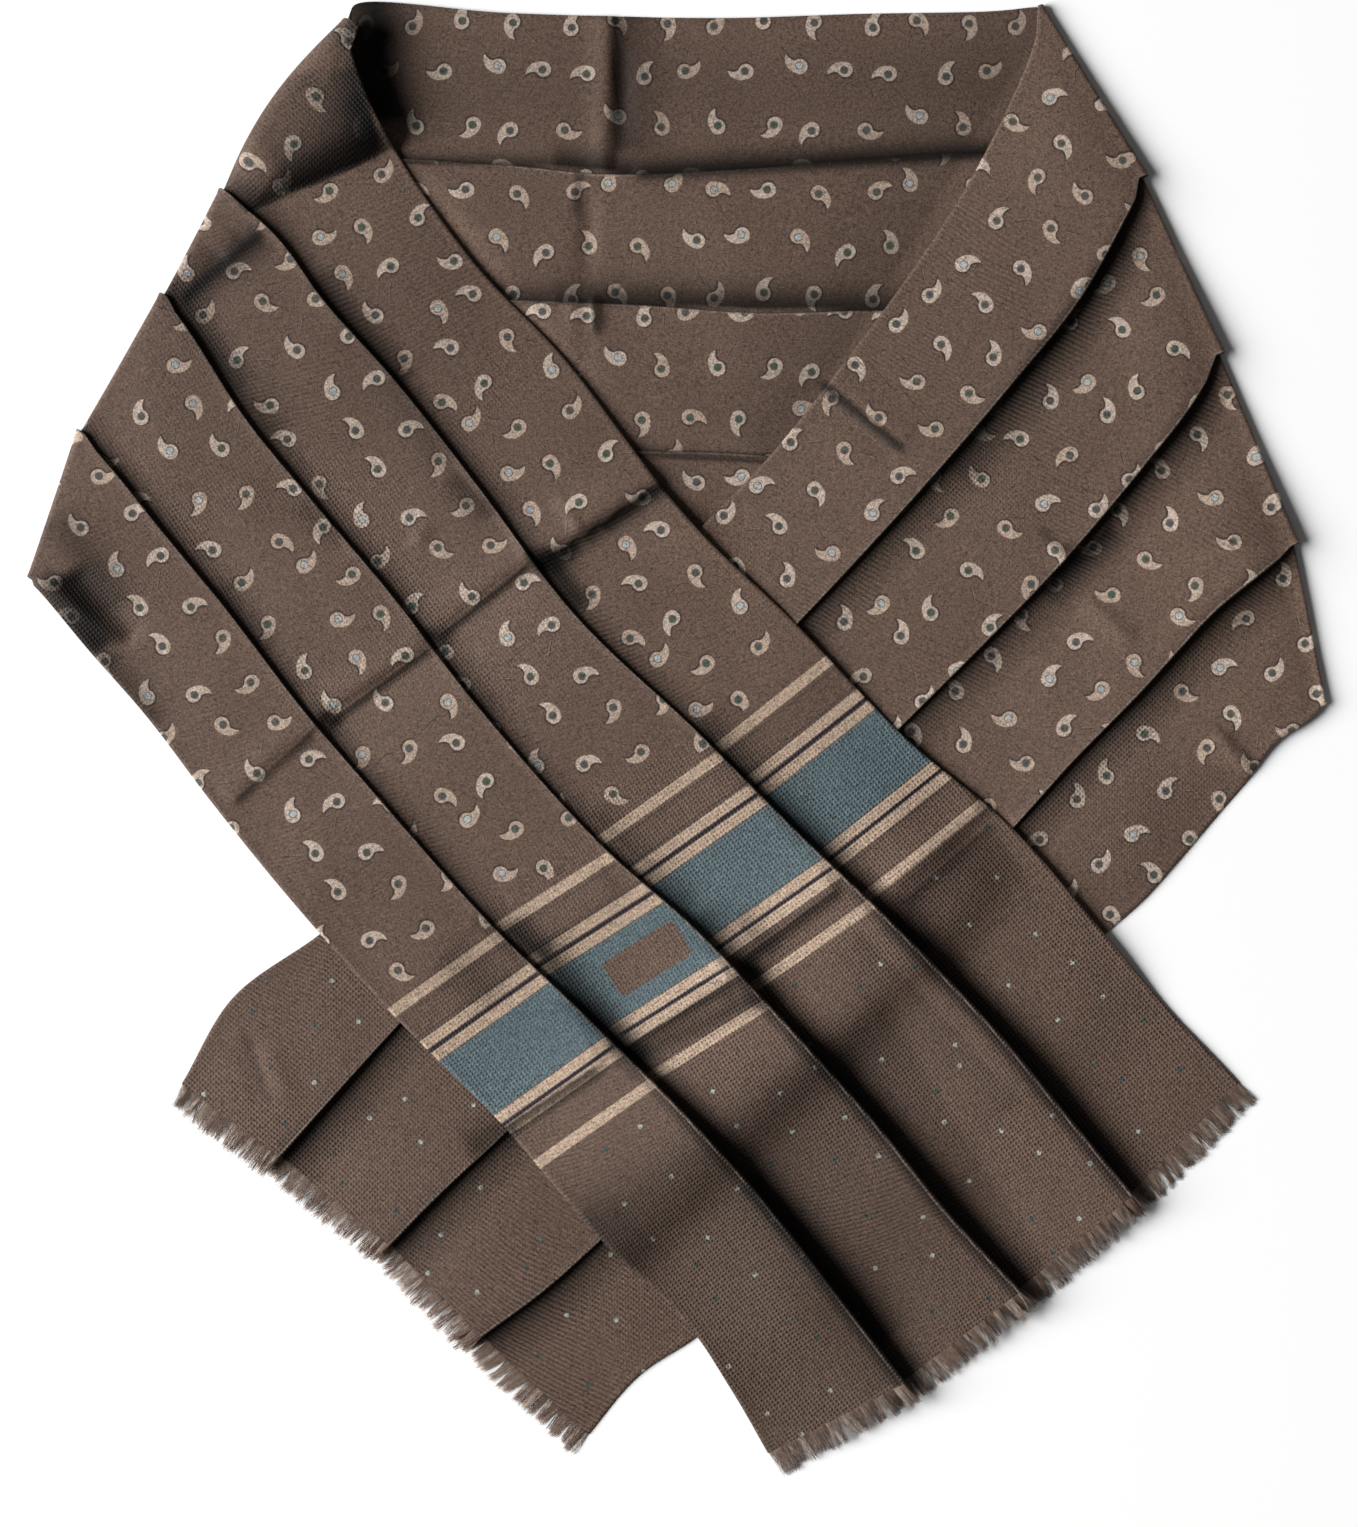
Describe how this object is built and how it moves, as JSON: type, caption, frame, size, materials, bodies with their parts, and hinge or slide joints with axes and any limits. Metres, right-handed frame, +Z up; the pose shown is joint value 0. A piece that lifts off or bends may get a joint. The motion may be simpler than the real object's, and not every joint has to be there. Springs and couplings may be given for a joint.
{
  "type": "shawl",
  "caption": "Long fringed scarf pressed into lengthwise pleats, folded over at both ends and laid flat with its arms crossed.",
  "frame": {"origin": "centre of the bounding box in plan, on the surface that the scarf lies on", "axes": "+Z up from that surface, +Y from the crossed ends towards the neck stretch, +X towards the arm that lies underneath"},
  "size_m": [0.6107, 0.6874, 0.0177],
  "materials": {
    "silk_twill": "soft silk twill with a low sheen",
    "silk_fringe": "loose silk threads"
  },
  "bodies": {
    "root": {"neck_stretch": "silk_twill", "under_arm": "silk_twill", "over_arm": "silk_twill", "under_fringe": "silk_fringe", "over_fringe": "silk_fringe"}
  },
  "joints": []
}
